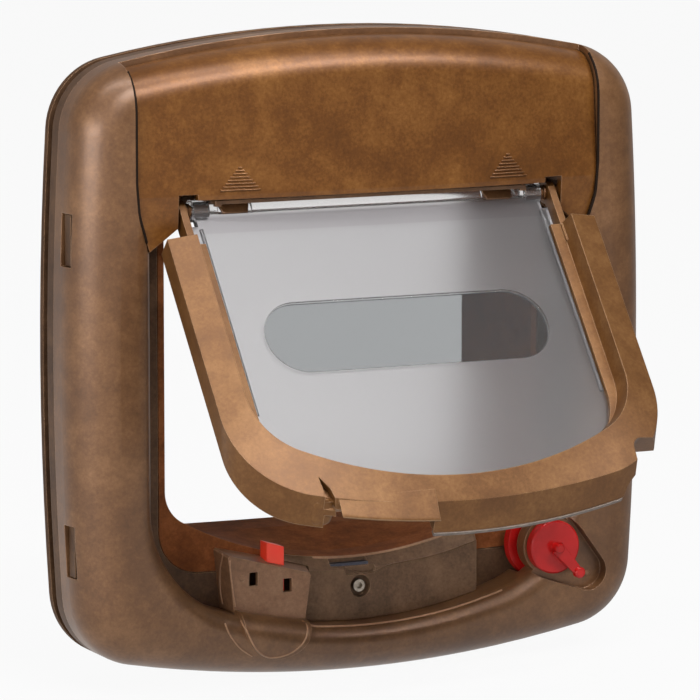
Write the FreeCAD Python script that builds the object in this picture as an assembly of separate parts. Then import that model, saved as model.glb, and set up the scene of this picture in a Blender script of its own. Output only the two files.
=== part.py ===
import FreeCAD, Part
import math
import os

# Cat flap for a door. X runs across the door, Y through it to the outside, Z up.
# The inside frame sits on the door face at Y = 0 and faces the room at minus Y.
# Sizes are in millimetres. A growth or inset below is a distance square to the surface.

V = FreeCAD.Vector

# Driving sizes
WIDTH = 241.0
HEIGHT = 247.6
RISE = 2.2
SIDE_BOW = 1400.0
TOP_BOW = 490.0
CORNER = 28.0
WALL = 2.5
PARTING = 6.0
COVER_DEPTH = 31.0
COVER_ROUND = 17.0
COVER_LIP_ROUND = 7.0
SEAT_DEPTH = 11.0
TUNNEL_LENGTH = 50.0
TUNNEL_COLLAR = 4.0
DOOR_GAP = 4.5
REAR_THICK = 5.0
OPEN_ANGLE = 39.0
PIN_R = 2.2
LUG_HALF = 2.9
RUN = 0.06
CLEAR = 0.3
SEAM = 0.5
BEVEL = 0.63

# Edges of the frame, seen from the centre of its fixing holes
SIDE = WIDTH / 2
TOP = RISE + HEIGHT / 2
LOW = RISE - HEIGHT / 2

# Shapes that are open at the top like a letter U: half width, corner radius, bottom radius, lowest point, top
HINGE_Z = TOP - 65.4
HINGE_Y = -SEAT_DEPTH - 14.0
ARM_TOP = HINGE_Z - 17.0
OPENING_ROUND = 20.0
OPENING = (SIDE - 31.0, 44.0, 190.0, LOW + 18.8, TOP - 28.0)
TUNNEL_TOP = TOP - 60.0
TUNNEL_LOW = LOW + 43.6
TUNNEL_ROUND = 14.0
MOUTH = (SIDE - 43.0, TUNNEL_ROUND, 148.0, TUNNEL_LOW, TUNNEL_TOP)
REAR = (SIDE - 43.0, TUNNEL_ROUND, 3000.0, TUNNEL_LOW + 5.3, TUNNEL_TOP)
TUBE = (SIDE - 43.0, TUNNEL_ROUND, 3000.0, TUNNEL_LOW, TUNNEL_TOP)
RAMP_END = 30.0
RIDGE = (SIDE - 42.5, 27.0, 140.0, LOW + 55.7, ARM_TOP)
CREST = (SIDE - 31.3, 36.0, 280.0, LOW + 46.2, ARM_TOP)
RIM = (SIDE - 32.3, 30.0, 268.0, LOW + 38.9, ARM_TOP)
PANEL = (SIDE - 46.0, 30.0, 142.0, LOW + 51.2, HINGE_Z)


def arc(p, q, c):
    """Arc from p to q about the centre c, the short way round."""
    m = p + q - c * 2.0
    m.normalize()
    return Part.Arc(p, c + m * (p - c).Length, q).toShape()


def line(p, q):
    return Part.makeLine(p, q)


def outline(inset, y):
    """Frame outline: four bowed sides and four corner arcs."""
    rs, rt, rc = SIDE_BOW - inset, TOP_BOW - inset, CORNER - inset
    a, b = SIDE - SIDE_BOW, HEIGHT / 2 - TOP_BOW
    r1, r2 = SIDE_BOW - CORNER, TOP_BOW - CORNER
    d = math.hypot(a, b)
    along = (r1 * r1 - r2 * r2 + d * d) / (2 * d)
    off = math.sqrt(r1 * r1 - along * along)
    ux, uz = -a / d, b / d
    cx, cz = a + along * ux - off * uz, along * uz + off * ux
    if cx < 0 or cz < 0:
        cx, cz = a + along * ux + off * uz, along * uz - off * ux
    sx, sz = a + (cx - a) * rs / r1, cz * rs / r1
    tx, tz = cx * rt / r2, b + (cz - b) * rt / r2
    edges = []
    edges.append(arc(V(sx, y, -sz), V(sx, y, sz), V(a, y, 0)))
    edges.append(arc(V(sx, y, sz), V(tx, y, tz), V(cx, y, cz)))
    edges.append(arc(V(tx, y, tz), V(-tx, y, tz), V(0, y, b)))
    edges.append(arc(V(-tx, y, tz), V(-sx, y, sz), V(-cx, y, cz)))
    edges.append(arc(V(-sx, y, sz), V(-sx, y, -sz), V(-a, y, 0)))
    edges.append(arc(V(-sx, y, -sz), V(-tx, y, -tz), V(-cx, y, -cz)))
    edges.append(arc(V(-tx, y, -tz), V(tx, y, -tz), V(0, y, -b)))
    edges.append(arc(V(tx, y, -tz), V(sx, y, -sz), V(cx, y, -cz)))
    wire = Part.Wire(edges)
    wire.translate(V(0, 0, RISE))
    return wire


def u_wire(shape, grow, y, top_round=0.0):
    """U shape with its sides and bottom moved out by grow; the top keeps its height unless it is rounded."""
    w, corner, bottom, low, top = shape
    w, corner, bottom, low = w + grow, corner + grow, bottom + grow, low - grow
    span = bottom - corner
    cz = low + bottom - math.sqrt(span ** 2 - (w - corner) ** 2)
    bx = (w - corner) * bottom / span
    bz = low + bottom - math.sqrt(bottom ** 2 - bx ** 2)
    k = w - corner
    edges = []
    if top_round > 0:
        t = top_round + grow
        top = top + grow
        edges.append(line(V(-w, y, top - t), V(-w, y, cz)))
    else:
        edges.append(line(V(-w, y, top), V(-w, y, cz)))
    edges.append(arc(V(-w, y, cz), V(-bx, y, bz), V(-k, y, cz)))
    edges.append(arc(V(-bx, y, bz), V(bx, y, bz), V(0, y, low + bottom)))
    edges.append(arc(V(bx, y, bz), V(w, y, cz), V(k, y, cz)))
    if top_round > 0:
        edges.append(line(V(w, y, cz), V(w, y, top - t)))
        edges.append(arc(V(w, y, top - t), V(w - t, y, top), V(w - t, y, top - t)))
        edges.append(line(V(w - t, y, top), V(t - w, y, top)))
        edges.append(arc(V(t - w, y, top), V(-w, y, top - t), V(t - w, y, top - t)))
    else:
        edges.append(line(V(w, y, cz), V(w, y, top)))
        edges.append(line(V(w, y, top), V(-w, y, top)))
    return Part.Wire(edges)


def prism(wire, y0, y1):
    """Solid from a closed wire drawn at any depth, running from y0 to y1."""
    face = Part.Face(wire)
    face.translate(V(0, y0 - wire.BoundBox.YMin, 0))
    return face.extrude(V(0, y1 - y0, 0))


def polygon(points, y):
    pts = [V(x, y, z) for x, z in points]
    return Part.makePolygon(pts + pts[:1])


def box(x0, x1, y0, y1, z0, z1):
    return Part.makeBox(x1 - x0, y1 - y0, z1 - z0, V(x0, y0, z0))


def bar(r, x0, x1, y, z):
    """Round bar along X."""
    return Part.makeCylinder(r, x1 - x0, V(x0, y, z), V(1, 0, 0))


def post(r, y0, y1, x, z):
    """Round post along Y."""
    return Part.makeCylinder(r, y1 - y0, V(x, y0, z), V(0, 1, 0))


def fuse(*shapes):
    out = shapes[0].multiFuse(list(shapes[1:])) if len(shapes) > 1 else shapes[0]
    return out.removeSplitter()


def cut(shape, *tools):
    return shape.cut(list(tools))


def edges_at(shape, y, test=lambda e: True):
    """Edges that lie wholly at depth y."""
    found = []
    for e in shape.Edges:
        b = e.BoundBox
        if abs(b.YMin - y) < 0.01 and abs(b.YMax - y) < 0.01 and test(e):
            found.append(e)
    return found


def opened(shape):
    """Turn a piece drawn with the flap shut to the pose of the photo."""
    out = shape.copy()
    out.rotate(V(0, HINGE_Y, HINGE_Z), V(1, 0, 0), -OPEN_ANGLE)
    return out


# Places on the front that more than one piece shares
KNOB_X, KNOB_Z = SIDE - 41.3, LOW + 43.6
KNOB_R = 10.5
LOBE_R = 11.6
EYE_FLOOR = COVER_DEPTH - 5.0
CAM_R = 14.0
CAM_BACK = SEAT_DEPTH + 2.6
CAM_FRONT = CAM_BACK + 4.0
SHAFT_R = 4.0
CLIP_BACK = SEAT_DEPTH + 0.95
HOOD_HALF = SIDE - 24.3
HOOD_WALL = 2.4
HOOD_BACK = SEAT_DEPTH + 3.0
HOOD_LOW = HINGE_Z + 4.7
HOOD_FRONT = COVER_DEPTH + 5.5
HOOD_BOW = 740.0
HOOD_ROUND = 15.0
HOOD_TOP_INSET = 2.4
CHEEK_IN = HOOD_HALF - 16.1
CHEEK_FALL = 2.2
SHIELD_X = -SIDE + 64.9
SHIELD_TOP, SHIELD_LOW = LOW + 48.9, LOW + 9.2
SHIELD_W = 34.7
SHIELD_FALL = 9.3
SHIELD_PAD = 1.8
CLIP_TAB = -SEAT_DEPTH - 2.4
SILL_FRONT = SEAT_DEPTH + 5.0
SILL_X0, SILL_X1 = SHIELD_X - 4.4, KNOB_X - 27.2
SCREW_X, SCREW_Z = SHIELD_X + SHIELD_W + 22.9, LOW + 32.0
MAGNET_HALF = 8.0
HOUSING_FRONT = SEAT_DEPTH + 9.5
LATCH_X0 = SHIELD_X + 17.4
LATCH_X1 = LATCH_X0 + 7.2
LATCH_TOP = LOW + 52.3
LATCH_LOW = LATCH_TOP - 19.2
LATCH_BACK = SEAT_DEPTH + 0.5
LATCH_FRONT = LATCH_BACK + 6.1
FIX_X, FIX_Z = SIDE - 15.5, HEIGHT / 2 - 27.8
FIX_R = 2.25
NOTCH_X = RIDGE[0] - 5.5
NOTCH_TOP = LOW + 66.4
TONGUE_X0, TONGUE_X1 = SHIELD_X + 3.3, SHIELD_X + SHIELD_W + 6.8
TONGUE_TOP = PANEL[3]
NICK_X = TONGUE_X0 - 4.7


def eye_wire(grow, y):
    """Recess of the knob: a round end, and a smaller one at its lower right, joined by tangents."""
    r1, r2 = 13.0 + grow, 7.5 + grow
    c1, c2 = V(KNOB_X, y, KNOB_Z), V(KNOB_X + 14.5, y, KNOB_Z - 10.5)
    d = c2 - c1
    ang = math.atan2(d.z, d.x)
    half = math.acos((r1 - r2) / d.Length)
    u1, u2 = [V(math.cos(ang + s * half), 0, math.sin(ang + s * half)) for s in (1, -1)]
    far1, far2 = V(-math.cos(ang), 0, -math.sin(ang)), V(math.cos(ang), 0, math.sin(ang))
    big = Part.Arc(c1 + u1 * r1, c1 + far1 * r1, c1 + u2 * r1).toShape()
    small = Part.Arc(c2 + u2 * r2, c2 + far2 * r2, c2 + u1 * r2).toShape()
    return Part.Wire([big, line(c1 + u2 * r1, c2 + u2 * r2), small, line(c2 + u1 * r2, c1 + u1 * r1)])


# Base of the inside frame
def make_base():
    seat_out = u_wire(OPENING, 3.5, 0, OPENING_ROUND)
    seat_in = u_wire(OPENING, 3.5 - WALL, 0, OPENING_ROUND)
    flange = prism(outline(0, 0), -WALL, 0)
    rim = cut(prism(outline(0, 0), -PARTING, 0), prism(outline(WALL, 0), -PARTING - 1, 1))
    body = fuse(rim, flange, prism(seat_out, -SEAT_DEPTH, 0))
    tools = [prism(seat_in, -SEAT_DEPTH + WALL, 1)]
    tools.append(prism(u_wire(TUBE, WALL + CLEAR, 0, TUNNEL_ROUND), -SEAT_DEPTH - 1, 1))
    tools.append(post(1.5, -SEAT_DEPTH - 1, 1, SCREW_X, SCREW_Z))
    for sx in (-1, 1):
        for sz in (-1, 1):
            tools.append(post(FIX_R, -WALL - 1, 1, sx * FIX_X, sz * FIX_Z))
    body = cut(body, *tools)
    extra = []
    for s in (-1, 1):
        x0, x1 = sorted((s * (CHEEK_IN + 3.0), s * (CHEEK_IN + 6.5)))
        lug = box(x0, x1, HINGE_Y - LUG_HALF, -SEAT_DEPTH + 0.5, HINGE_Z - 4.5, HINGE_Z + 4.5)
        extra.append(cut(lug, bar(PIN_R, x0 - 1, x1 + 1, HINGE_Y, HINGE_Z)))
    for x, z0, z1 in clip_places():
        side = math.copysign(1.0, x)
        x0, x1 = sorted((x - side * (WALL + 1.6), x - side * (WALL - 0.4)))
        extra.append(box(x0, x1, CLIP_TAB - 5.6, -1.0, z0 + 0.4, z1 - 0.4))
        x0, x1 = sorted((x - side * (WALL + 0.2), x))
        extra.append(box(x0, x1, CLIP_TAB - 5.6, CLIP_TAB, z0 + 0.4, z1 - 0.4))
    return fuse(body, *extra)


# Tunnel, a sleeve held in the base by its collar
def make_tunnel():
    tube = prism(u_wire(TUBE, WALL, 0, TUNNEL_ROUND), -SEAT_DEPTH, TUNNEL_LENGTH)
    collar_front = -SEAT_DEPTH + WALL
    collar = prism(u_wire(TUBE, WALL + TUNNEL_COLLAR, 0, TUNNEL_ROUND), collar_front, collar_front + 2.0)
    mouth = prism(u_wire(MOUTH, 0, 0, TUNNEL_ROUND), -SEAT_DEPTH - 1, 2.0)
    ends = [u_wire(MOUTH, 0, 2.0, TUNNEL_ROUND), u_wire(REAR, 0, RAMP_END, TUNNEL_ROUND)]
    ramp = Part.makeLoft(ends, True, True)
    rear = prism(u_wire(REAR, 0, 0, TUNNEL_ROUND), RAMP_END, TUNNEL_LENGTH + 1)
    return cut(fuse(tube, collar), mouth, ramp, rear)


def clip_places():
    """Windows in the side walls of the cover where it snaps on the base."""
    out = []
    for s in (-1, 1):
        for z in (TOP - 75.0, LOW + 54.6):
            half = SIDE - (SIDE_BOW - math.sqrt(SIDE_BOW ** 2 - (z - RISE) ** 2))
            out.append((s * (half - 1.2), z - 10.0, z + 10.0))
    return out


# Front cover
def on_wire(wire):
    """Test for an edge that runs along the wire."""
    def test(edge):
        middle = edge.valueAt(0.5 * (edge.FirstParameter + edge.LastParameter))
        return wire.distToShape(Part.Vertex(middle))[0] < 0.05
    return test


def cover_block(g=0.0):
    """Crowned ring with a round outer edge and a round lip at the opening, its skin moved out by g."""
    front = -COVER_DEPTH - g
    block = prism(outline(-g, 0), front, -PARTING)
    block = block.makeFillet(COVER_ROUND + g, edges_at(block, front))
    hole = prism(u_wire(OPENING, -g, 0, OPENING_ROUND), front - 5, 0)
    block = block.cut(hole)
    lip = on_wire(u_wire(OPENING, -g, front, OPENING_ROUND))
    return block.makeFillet(COVER_LIP_ROUND + g, edges_at(block, front, lip))


def cover_core(t):
    """Room inside the cover's skin, bevelled where the skin is round."""
    front = -COVER_DEPTH + t
    block = prism(outline(t, 0), front, -PARTING + 2.0)
    block = block.makeChamfer((COVER_ROUND - t) * BEVEL, edges_at(block, front))
    hole = prism(u_wire(OPENING, t, 0, OPENING_ROUND), front - 5, 0)
    block = block.cut(hole)
    lip = on_wire(u_wire(OPENING, t, front, OPENING_ROUND))
    return block.makeChamfer((COVER_LIP_ROUND - t) * BEVEL, edges_at(block, front, lip))


def hood_polygon(g):
    """Outline of the hood: straight seams, then cheeks that narrow to their tips."""
    right = [(HOOD_HALF + g, TOP + 74.0), (HOOD_HALF + g, HINGE_Z + 11.4), (HOOD_HALF - 1.0 + g, HINGE_Z - 0.6)]
    right += [(HOOD_HALF - 5.4 + g, HINGE_Z - 14.2 - g), (CHEEK_IN - g, HINGE_Z - 5.6 - g), (CHEEK_IN - g, HOOD_LOW - g)]
    left = [(-x, z) for x, z in reversed(right)]
    return right + left


def shield_lower(g, y):
    """Lower half of the shield: a tongue with a round tip, moved out by g."""
    x0, x1 = SHIELD_X + 3.0 - g, SHIELD_X + SHIELD_W - 3.2 + g
    head, low = LOW + 28.0, SHIELD_LOW - g
    tip = V(x0 + 0.42 * (x1 - x0), y, low)
    left, right = V(x0 - 0.6, y, head), V(x1, y, head)
    bend_left = V(x0 + 3.2, y, low + 5.2)
    bend_right = V(x1 - 4.2, y, low + 4.6)
    edges = [Part.Arc(left, bend_left, tip).toShape(), Part.Arc(tip, bend_right, right).toShape(), line(right, left)]
    return Part.Wire(edges)


def make_cover():
    front = -COVER_DEPTH - 20.0
    slot = prism(polygon(hood_polygon(SEAM), 0), front, -HOOD_BACK + CLEAR)
    slot_wall = prism(polygon(hood_polygon(SEAM + 2.0), 0), front, -HOOD_BACK + CLEAR + 2.0)
    lobe = post(LOBE_R, -COVER_DEPTH + 3.0, -CAM_FRONT - 2.4, KNOB_X, KNOB_Z)
    eye_back = prism(eye_wire(2.0, 0), front, -EYE_FLOOR + WALL)
    cavity = cut(cover_core(WALL), slot_wall, eye_back)
    body = cut(fuse(cover_block(), lobe), cavity, slot)
    pad = prism(shield_lower(0.0, 0), front, -HOUSING_FRONT - 0.4)
    pad = cut(cover_block(SHIELD_PAD).common(pad), cavity)
    body = fuse(body, pad)
    tools = [prism(eye_wire(0, 0), front, -EYE_FLOOR)]
    tools.append(post(SHAFT_R + CLEAR, front, 0, KNOB_X, KNOB_Z))
    tools.append(post(CAM_R + 1.2, -CAM_FRONT - 1.2, 0, KNOB_X, KNOB_Z))
    tools.append(prism(u_wire(OPENING, 4.5, 0, OPENING_ROUND), -SEAT_DEPTH - CLEAR, 0))
    for x, z0, z1 in clip_places():
        side = math.copysign(1.0, x)
        x0, x1 = sorted((x - side * WALL, x + side * 12.0))
        tools.append(box(x0, x1, CLIP_TAB - 6.6, CLIP_TAB + 0.9, z0, z1))
    return cut(body, *tools)


# Hood over the hinge
def bulge(profile):
    """Front of the hood as a body turned about an upright line far behind it."""
    axis_y = HOOD_BOW - HOOD_FRONT
    pts = [V(0, 10.0, profile[0][1])] + [V(0, -fwd, z) for fwd, z in profile] + [V(0, 10.0, profile[-1][1])]
    face = Part.Face(Part.makePolygon(pts + pts[:1]))
    face.rotate(V(0, axis_y, 0), V(0, 0, 1), -12.0)
    return face.revolve(V(0, axis_y, 0), V(0, 0, 1), 24.0)


def hood_body(g, points):
    """Rounded upper part and plain cheeks, both cut to the outline in points."""
    knee = HOOD_LOW + 1.7
    upper = prism(outline(HOOD_TOP_INSET - g, 0), -HOOD_FRONT - 24, 4.0)
    upper = upper.common(bulge([(HOOD_FRONT + g, knee), (HOOD_FRONT - 6.0 + g, TOP + 14.0)]))
    crown = [e for e in upper.Edges if e.BoundBox.YMax < -10.0 and e.BoundBox.ZLength > 1.0]
    if g < 0:
        upper = upper.makeChamfer((HOOD_ROUND + g) * BEVEL, crown)
    else:
        upper = upper.makeFillet(HOOD_ROUND, crown)
    fall = HOOD_FRONT - CHEEK_FALL + g
    lower = bulge([(fall, HINGE_Z - 40.6), (fall, HINGE_Z - 20.6), (HOOD_FRONT + g, knee)])
    return fuse(upper, lower).common(prism(polygon(points, 0), -HOOD_FRONT - 24, 4.0))


def make_hood():
    outer = hood_body(0.0, hood_polygon(0.0))
    t = HOOD_WALL
    foot = HINGE_Z - 16.6
    inner_points = [(HOOD_HALF - t, TOP + 74.0), (HOOD_HALF - t, HINGE_Z + 11.4), (HOOD_HALF - 1.0 - t, HINGE_Z)]
    inner_points += [(HOOD_HALF - 6.0 - t, foot), (CHEEK_IN + t, foot), (CHEEK_IN + t, HOOD_LOW + t)]
    inner_points += [(CHEEK_IN, HOOD_LOW + t), (CHEEK_IN, foot - 4.0)]
    inner_points = inner_points + [(-x, z) for x, z in reversed(inner_points)]
    inner = hood_body(-t, inner_points)
    body = cut(outer, inner, box(-2 * SIDE, 2 * SIDE, -HOOD_BACK, 50, 2 * LOW, 2 * TOP))
    lug_front = HINGE_Y - LUG_HALF - CLEAR
    for s in (-1, 1):
        x0, x1 = sorted((s * (CHEEK_IN - 7.5), s * (CHEEK_IN + 0.01)))
        body = body.cut(box(x0, x1, -HOOD_FRONT - 24, -HOOD_BACK - 12.0, HOOD_LOW - 15, HOOD_LOW + 2.2))
        x0, x1 = sorted((s * (CHEEK_IN - 0.5), s * (CHEEK_IN + t + 0.5)))
        body = body.cut(box(x0, x1, lug_front, HINGE_Y + LUG_HALF + CLEAR, foot - 14, HINGE_Z + LUG_HALF + CLEAR))
        x0, x1 = sorted((s * (CHEEK_IN - 0.5), s * (CHEEK_IN + 7.0)))
        body = body.cut(box(x0, x1, lug_front, -HOOD_BACK - 1, foot - 14, HINGE_Z + 4.5 + CLEAR))
    return body


# Strip under the hood
def make_strip():
    y_front = HINGE_Y - 6.5
    top = HOOD_LOW - 0.6
    half = CHEEK_IN - 15.1
    plate = box(-half, half, y_front, -SEAT_DEPTH, top - 1.4, top)
    foot_low = HINGE_Z + 1.9
    feet = []
    for s in (-1, 1):
        x0, x1 = sorted((s * half, s * (half - 2.4)))
        feet.append(box(x0, x1, y_front, y_front + 2.2, foot_low, top))
    return fuse(plate, *feet)


# Frame on the outside face of the door
def make_rear():
    y0, y1 = DOOR_GAP, DOOR_GAP + REAR_THICK
    plate = prism(outline(0, 0), y0, y1)
    plate = plate.makeChamfer(2.0, edges_at(plate, y1))
    collar = prism(u_wire(TUBE, WALL + CLEAR + 4.0, 0, TUNNEL_ROUND), y0, y1 + 4.0)
    collar = collar.makeChamfer(1.2, edges_at(collar, y1 + 4.0))
    body = fuse(plate, collar)
    tools = [prism(u_wire(TUBE, WALL + CLEAR, 0, TUNNEL_ROUND), y0 - 1, y1 + 10)]
    for sx in (-1, 1):
        for sz in (-1, 1):
            tools.append(post(FIX_R, y0 - 1, y1 + 1, sx * FIX_X, sz * FIX_Z))
            tools.append(post(FIX_R * 2.1, y1 - 2.0, y1 + 1, sx * FIX_X, sz * FIX_Z))
    return cut(body, *tools)


# Sill under the flap
def sill_top(x0, x1, radius, low, y):
    """Curved top line of the sill and the straight sides under it."""
    z = [low + radius - math.sqrt(radius ** 2 - x * x) for x in (x0, 0.5 * (x0 + x1), x1)]
    p = [V(x0, y, z[0]), V(0.5 * (x0 + x1), y, z[1]), V(x1, y, z[2])]
    foot = OPENING[3] - 1.5
    edges = [Part.Arc(p[0], p[1], p[2]).toShape(), line(p[2], V(x1, y, foot)), line(V(x1, y, foot), V(x0, y, foot)), line(V(x0, y, foot), p[0])]
    return Part.Wire(edges)


def make_sill():
    wall_low = TUNNEL_LOW - 4.9
    front = sill_top(SILL_X0, SILL_X1, 195.0, wall_low, -SILL_FRONT)
    back = sill_top(SILL_X0, SILL_X1, MOUTH[2], TUNNEL_LOW - CLEAR, -SEAT_DEPTH)
    body = Part.makeLoft([front, back], True, True)
    body = body.common(prism(u_wire(OPENING, -CLEAR, 0), -60, 0))
    x, z = SCREW_X, SCREW_Z
    tools = [post(4.3, -40, -SILL_FRONT + 3.0, x, z), post(1.55, -40, 0, x, z)]
    tools.append(housing_block(CLEAR))
    tools.append(box(LATCH_X0 - 1.0, LATCH_X1 + 1.0, -40, -SEAT_DEPTH + 1, LATCH_TOP - 40, LATCH_TOP + 10))
    dip = 6.2
    tools.append(box(x - dip, x + dip, -SILL_FRONT - 1, -SILL_FRONT + 1.2, wall_low - 1.9, wall_low + 14))
    body = cut(body, *tools)
    pieces = sorted(body.Solids, key=lambda s: -s.Volume)
    return pieces[0]


# Latch housing, the upper half of the shield
def shield_upper(g, y):
    """Outline of the housing, moved out by g: its top and its foot fall to the right."""
    x0, x1 = SHIELD_X - g, SHIELD_X + SHIELD_W + g
    top = SHIELD_TOP + g
    foot = LOW + 14.0
    points = [(x0, top), (x1, top - SHIELD_FALL), (x1 - 3.6, foot), (x0 + 3.9, foot)]
    return polygon(points, y)


def housing_block(g):
    """Shield with sloped sides, wider at its foot on the sill."""
    return Part.makeLoft([shield_upper(2.0 + g, -SEAT_DEPTH), shield_upper(g, -HOUSING_FRONT - g)], True, True)


def make_housing():
    front = -HOUSING_FRONT
    body = housing_block(0.0)
    body = body.makeChamfer(0.8, [e for e in body.Edges if e.BoundBox.YLength > 1.0 and e.BoundBox.ZMin > LOW + 30])
    body = body.common(prism(u_wire(OPENING, -CLEAR, 0), -60, 0))
    inner = prism(shield_upper(-2.2, 0), front + 2.2, -SEAT_DEPTH + 1)
    inner = inner.common(prism(u_wire(OPENING, -CLEAR - 2.0, 0), -60, 0))
    latch_way = box(LATCH_X0 - 0.25, LATCH_X1 + 0.25, -LATCH_FRONT - 0.35, -SEAT_DEPTH + 1, LATCH_LOW - 8.0, LATCH_TOP + 20)
    tools = [inner, latch_way]
    for x, z in ((SHIELD_X + 10.6, SHIELD_TOP - 9.8), (SHIELD_X + 24.8, SHIELD_TOP - 13.2)):
        tools.append(box(x - 1.8, x + 1.8, front - 1, front + 3, z - 2.6, z + 2.6))
    return cut(body, *tools)


def make_latch():
    low = LATCH_LOW
    fall = (LATCH_X1 - LATCH_X0) * 0.3
    points = [(LATCH_X0, low), (LATCH_X1, low), (LATCH_X1, LATCH_TOP - fall), (LATCH_X0, LATCH_TOP)]
    body = prism(polygon(points, 0), -LATCH_FRONT, -LATCH_BACK)
    return cut(body, box(LATCH_X0 + 1.5, LATCH_X1 - 1.5, -LATCH_FRONT - 1, -LATCH_FRONT + 3.0, low + 1.5, low + 9.5))


def make_latch_magnet():
    low = LATCH_LOW
    g = 0.02
    return box(LATCH_X0 + 1.5 + g, LATCH_X1 - 1.5 - g, -LATCH_FRONT + 0.2, -LATCH_FRONT + 3.0 - g, low + 1.5 + g, low + 9.5 - g)


# Surround of the flap
def surround_wires(inset, shift):
    """Rim, crest and ridge of the surround, moved in by inset and back by shift."""
    rim = u_wire(RIM, -inset, HINGE_Y + 2.0)
    crest = u_wire(CREST, -inset, HINGE_Y - 8.4 + shift)
    ridge = u_wire(RIDGE, 0.01, HINGE_Y - 11.0 + shift)
    return rim, crest, ridge


def knob_relief(g):
    """Corner of the surround that stays clear of the knob, moved out by g."""
    x0, top = NOTCH_X - g, NOTCH_TOP + g
    corner = box(x0, SIDE, HINGE_Y - 30, 0, LOW, top)
    edge = [e for e in corner.Edges if abs(e.BoundBox.XMax - x0) < 0.01 and abs(e.BoundBox.ZMin - top) < 0.01]
    corner = corner.makeFillet(4.0 + g, edge)
    return fuse(corner, post(LOBE_R + 0.6 + g, HINGE_Y - 30, 0, KNOB_X, KNOB_Z))


def shield_relief(g):
    """Room behind the tongue for the shield and its latch, moved out by g."""
    return box(NICK_X - g, TONGUE_X1 + g, HINGE_Y - 4.6, 0, LOW - 60, TONGUE_TOP + g)


def nick(y0, y1):
    """Slanted nick between the left arm and the tongue."""
    z = TONGUE_TOP + 9.0
    points = [(TONGUE_X0 - 6.3, z), (TONGUE_X0 - 2.7, z - 5.0), (TONGUE_X0, z - 14.0), (TONGUE_X0, z - 28.0)]
    points += [(NICK_X, z - 28.0), (NICK_X - 0.7, z - 5.0)]
    return prism(polygon(points, 0), y0, y1)


def make_tongue(t):
    """Flange of the surround drawn down over the shield in one flat sweep."""
    lower = (CREST[0], CREST[1], CREST[2], RIM[3], ARM_TOP)
    outer = Part.makeLoft([u_wire(lower, 0, HINGE_Y - 6.7), u_wire(RIDGE, 0.01, HINGE_Y - 11.0)], True, True)
    inner = Part.makeLoft([u_wire(lower, 0, HINGE_Y - 6.7 + t), u_wire(RIDGE, 0.01, HINGE_Y - 11.0 + t)], True, True)
    keep = box(TONGUE_X0, TONGUE_X1, HINGE_Y - 12, HINGE_Y, LOW - 60, TONGUE_TOP)
    return cut(outer.common(keep), inner, prism(u_wire(lower, 0, 0), HINGE_Y - 6.7 + t, HINGE_Y + 9))


def make_surround():
    t = 2.0
    rim, crest, ridge = surround_wires(0, 0)
    outer = fuse(Part.makeLoft([rim, crest], True, True), Part.makeLoft([crest, ridge], True, True))
    rim_in, crest_in, ridge_in = surround_wires(t, t)
    hollow = fuse(Part.makeLoft([rim_in, crest_in], True, True), Part.makeLoft([crest_in, ridge_in], True, True))
    hollow = cut(hollow, box(-SIDE, SIDE, HINGE_Y - 20, HINGE_Y + 5, ARM_TOP - t, ARM_TOP + 5))
    hollow = cut(hollow, knob_relief(t), shield_relief(t))
    top = HINGE_Z + 8
    inner_low = (RIDGE[0] - 2.0, RIDGE[1] - 2.0, RIDGE[2] - 2.0, RIDGE[3] + 2.0, top)
    inner_high = (RIDGE[0], RIDGE[1], RIDGE[2], RIDGE[3], top)
    way = Part.makeLoft([u_wire(inner_low, 0, HINGE_Y - 1.9), u_wire(inner_high, 0, HINGE_Y - 11.1)], True, True)
    way = fuse(way, prism(u_wire(inner_low, 0, 0), HINGE_Y - 1.9, HINGE_Y + 6))
    wall_low = (RIDGE[0] + 0.2, RIDGE[1], RIDGE[2], RIDGE[3] - 0.2, ARM_TOP)
    wall_high = (RIDGE[0] + 2.0, RIDGE[1] + 2.0, RIDGE[2] + 2.0, RIDGE[3] - 2.0, ARM_TOP)
    wall = Part.makeLoft([u_wire(wall_low, 0, HINGE_Y - 1.9), u_wire(wall_high, 0, HINGE_Y - 10.0)], True, True)
    wall = wall.common(outer)
    lip_high = (RIDGE[0] - 1.0, RIDGE[1] - 1.0, RIDGE[2] - 1.0, RIDGE[3] + 1.0, ARM_TOP)
    lip_low = (PANEL[0] - 2.4, PANEL[1] - 2.4, PANEL[2] - 2.4, PANEL[3] + 2.4, top)
    lip = prism(u_wire(lip_high, 0, 0), HINGE_Y - 3.8, HINGE_Y - 1.9)
    lip = cut(lip, prism(u_wire(lip_low, 0, 0), HINGE_Y - 10, HINGE_Y + 1))
    panel_room = prism(u_wire(PANEL, 0.8, 0), HINGE_Y - 1.9, HINGE_Y + 6)
    shell = cut(fuse(cut(outer, hollow), wall), way, panel_room)
    body = fuse(shell, lip)
    ears = []
    for s in (-1, 1):
        x0, x1 = sorted((s * (RIDGE[0] - 2.0), s * (RIDGE[0] + 0.8)))
        arm = box(x0, x1, HINGE_Y - 4.4, HINGE_Y + 1.9, ARM_TOP - 8.0, HINGE_Z)
        ears.append(fuse(bar(4.4, x0, x1, HINGE_Y, HINGE_Z), arm))
        x0, x1 = sorted((s * (RIDGE[0] - 2.0), s * (RIDGE[0] + 2.0)))
        ears.append(box(x0, x1, HINGE_Y - 5.0, HINGE_Y - 1.9, ARM_TOP - 8.0, ARM_TOP - 0.5))
    body = fuse(body, *ears)
    body = cut(body, bar(PIN_R + RUN, -SIDE, SIDE, HINGE_Y, HINGE_Z), knob_relief(0.0), shield_relief(0.0))
    body = fuse(body, make_tongue(t))
    body = cut(body, nick(HINGE_Y - 20, HINGE_Y - 4.2))
    floor = nick(HINGE_Y - 4.2, HINGE_Y - 2.2).common(outer)
    return fuse(body, floor)


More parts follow.
